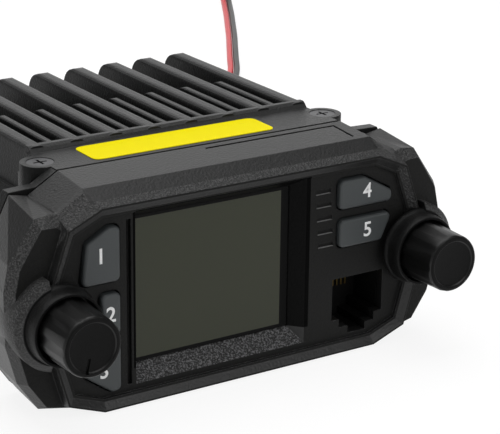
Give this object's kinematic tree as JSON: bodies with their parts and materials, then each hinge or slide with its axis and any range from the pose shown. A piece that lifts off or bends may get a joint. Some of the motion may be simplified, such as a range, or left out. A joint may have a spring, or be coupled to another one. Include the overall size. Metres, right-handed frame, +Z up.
{
  "type": "mobile transceiver",
  "caption": "Compact vehicle two-way radio with a finned heat sink, a faceted front panel with display, keys, two knobs and a microphone socket, and a twin power lead.",
  "frame": {"origin": "on the surface it stands on, under the middle of the set without its power lead", "axes": "+X to the right seen from the front, +Y from the front panel to the rear, +Z up"},
  "size_m": [0.2421, 0.3242, 0.0449],
  "materials": {
    "black_powder_coat": "black fine-textured powder coat",
    "dark_moulding": "dark grey moulded plastic, matte with coarse-grained bands",
    "key_rubber": "dark grey soft-touch",
    "knob_rubber": "black soft-touch",
    "window": "clear window over an unlit olive-grey display",
    "display": "unlit display glass",
    "white_moulding": "off-white moulded plastic",
    "black_moulding": "black moulded plastic",
    "yellow_label": "plain yellow sticker, bare",
    "circuit_board": "green solder mask",
    "bright_steel": "plated",
    "dark_steel": "blackened",
    "brass_contact": "plated",
    "module_cap": "ceramic-filled cap",
    "capacitor_sleeve": "printed-free sleeve",
    "cone_paper": "treated paper",
    "magnet": "plain",
    "red_insulation": "smooth cable insulation",
    "black_insulation": "smooth cable insulation"
  },
  "bodies": {
    "radio": {"chassis": "black_powder_coat", "front_panel": "dark_moulding", "front_panel_screws": "dark_steel", "top_label": "yellow_label", "bottom_cover": "black_powder_coat", "cover_screws": "dark_steel", "display_lens": "window", "display_cell": "display", "display_holder": "white_moulding", "control_board": "circuit_board", "control_board_screws": "bright_steel", "switch_bodies": "black_moulding", "volume_pot": "bright_steel", "channel_encoder": "bright_steel", "microphone_socket": "black_moulding", "microphone_contacts": "brass_contact", "main_board": "circuit_board", "main_board_screws": "bright_steel", "screening_can": "bright_steel", "power_module": "module_cap", "power_module_screws": "bright_steel", "filter_capacitor": "capacitor_sleeve", "board_connectors": "white_moulding", "ribbon_cable": "white_moulding", "speaker_gasket": "black_moulding", "speaker_basket": "bright_steel", "speaker_cone": "cone_paper", "speaker_magnet": "magnet", "antenna_flange": "bright_steel", "antenna_socket": "bright_steel", "antenna_insulator": "white_moulding", "antenna_contact": "brass_contact", "antenna_screws": "bright_steel", "speaker_jack": "black_moulding", "speaker_jack_nut": "bright_steel", "lead_grommet": "black_moulding", "power_lead_red": "red_insulation", "power_lead_black": "black_insulation", "lead_connector": "white_moulding"},
    "volume_control": {"volume_knob": "knob_rubber", "volume_shaft": "bright_steel"},
    "channel_control": {"channel_knob": "knob_rubber", "channel_shaft": "bright_steel"},
    "upper_left_button": {"upper_left_key": "key_rubber"},
    "middle_left_button": {"middle_left_key": "key_rubber"},
    "lower_left_button": {"lower_left_key": "key_rubber"},
    "upper_right_button": {"upper_right_key": "key_rubber"},
    "lower_right_button": {"lower_right_key": "key_rubber"}
  },
  "joints": [
    {"name": "volume_turn", "type": "hinge", "parent": "radio", "child": "volume_control", "pos_m": [-0.0402, -0.0428, 0.0202], "axis": [0, 1, 0], "range_deg": [0, 300]},
    {"name": "channel_turn", "type": "hinge", "parent": "radio", "child": "channel_control", "pos_m": [0.0402, -0.0428, 0.0202], "axis": [0, 1, 0], "continuous": true},
    {"name": "upper_left_press", "type": "slide", "parent": "radio", "child": "upper_left_button", "axis": [0, 1, 0], "range_m": [0, 0.0005], "stiffness_N_per_m": 1500, "springref_m": -0.0005},
    {"name": "middle_left_press", "type": "slide", "parent": "radio", "child": "middle_left_button", "axis": [0, 1, 0], "range_m": [0, 0.0005], "stiffness_N_per_m": 1500, "springref_m": -0.0005},
    {"name": "lower_left_press", "type": "slide", "parent": "radio", "child": "lower_left_button", "axis": [0, 1, 0], "range_m": [0, 0.0005], "stiffness_N_per_m": 1500, "springref_m": -0.0005},
    {"name": "upper_right_press", "type": "slide", "parent": "radio", "child": "upper_right_button", "axis": [0, 1, 0], "range_m": [0, 0.0005], "stiffness_N_per_m": 1500, "springref_m": -0.0005},
    {"name": "lower_right_press", "type": "slide", "parent": "radio", "child": "lower_right_button", "axis": [0, 1, 0], "range_m": [0, 0.0005], "stiffness_N_per_m": 1500, "springref_m": -0.0005}
  ]
}
